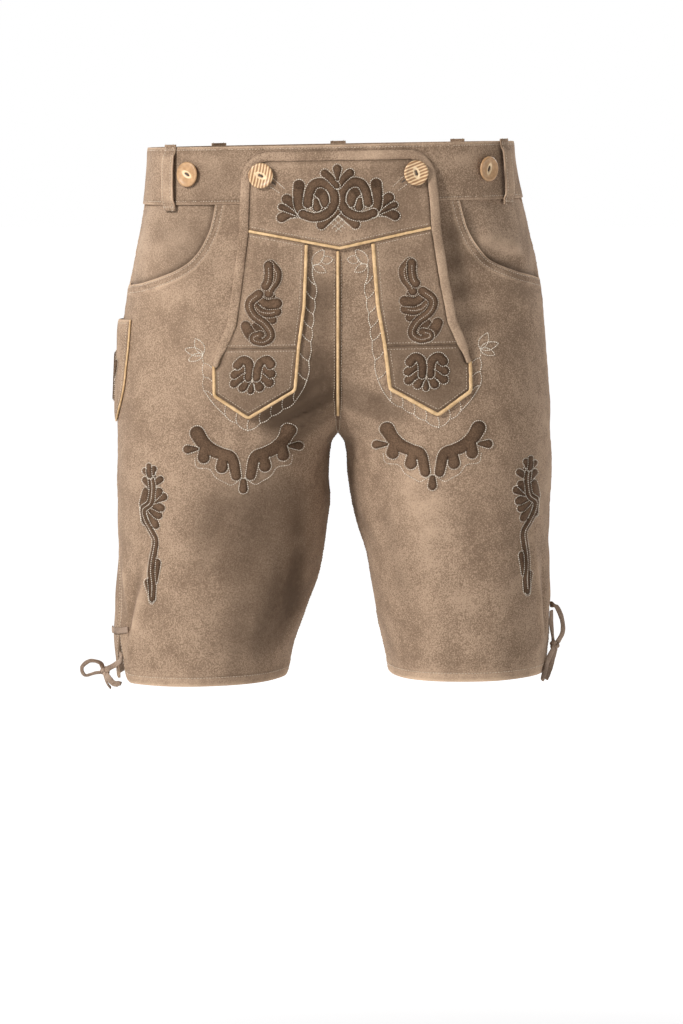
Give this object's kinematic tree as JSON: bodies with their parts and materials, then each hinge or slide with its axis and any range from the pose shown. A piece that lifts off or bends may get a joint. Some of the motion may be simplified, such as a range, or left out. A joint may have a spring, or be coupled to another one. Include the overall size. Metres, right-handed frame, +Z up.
{
  "type": "lederhosen",
  "caption": "Short suede lederhosen with a buttoned drop-front flap, padded scroll motifs, piping, belt loops, knife pocket and laced hem slits, in their hollow worn shape.",
  "frame": {"origin": "centre of the waist opening, level with the top of the waistband, where the wearer holds the garment up", "axes": "+Z up through the waist, the front faces -Y, +X towards the wearer's left"},
  "size_m": [0.4393, 0.2558, 0.4941],
  "materials": {
    "suede": "brushed taupe-brown suede, worn lighter on the ridges",
    "facing_suede": "brushed suede of the pocket facings, less worn",
    "piping_leather": "smooth honey-tan leather piping",
    "motif_suede": "dark brown suede over padding",
    "horn": "turned and polished, striped on the flap's two buttons",
    "thong_leather": "cut suede thong"
  },
  "bodies": {
    "root": {"back_button_left": "horn", "back_button_right": "horn", "back_left": "suede", "back_right": "suede", "belt_loop_back_left": "suede", "belt_loop_back_right": "suede", "belt_loop_centre_back": "suede", "belt_loop_front_left": "suede", "belt_loop_front_right": "suede", "brace_button_left": "horn", "brace_button_right": "horn", "flap_binding": "suede", "flap_button_left": "horn", "flap_button_right": "horn", "flap_strip_left": "suede", "flap_strip_right": "suede", "flap_yoke": "suede", "front_left": "suede", "front_right": "suede", "knife_pocket": "suede", "knife_pocket_piping": "piping_leather", "lace_left_back_end": "thong_leather", "lace_left_end": "thong_leather", "lace_left_knot": "thong_leather", "lace_left_loop": "thong_leather", "lace_left_tie": "thong_leather", "lace_right_bow": "thong_leather", "lace_right_cross": "thong_leather", "lace_right_end": "thong_leather", "lace_right_knot": "thong_leather", "lace_right_short_end": "thong_leather", "lace_right_tie": "thong_leather", "motif_garland_left": "motif_suede", "motif_garland_right": "motif_suede", "motif_knife_pocket": "motif_suede", "motif_outer_leg_left": "motif_suede", "motif_outer_leg_right": "motif_suede", "motif_point_left": "motif_suede", "motif_point_right": "motif_suede", "motif_strip_left": "motif_suede", "motif_strip_right": "motif_suede", "motif_yoke": "motif_suede", "piping_middle": "piping_leather", "piping_strip_left": "piping_leather", "piping_strip_right": "piping_leather", "piping_yoke": "piping_leather", "pocket_facing_left": "facing_suede", "pocket_facing_right": "facing_suede", "strip_point_left": "suede", "strip_point_right": "suede", "waistband_left": "suede", "waistband_right": "suede"}
  },
  "joints": []
}
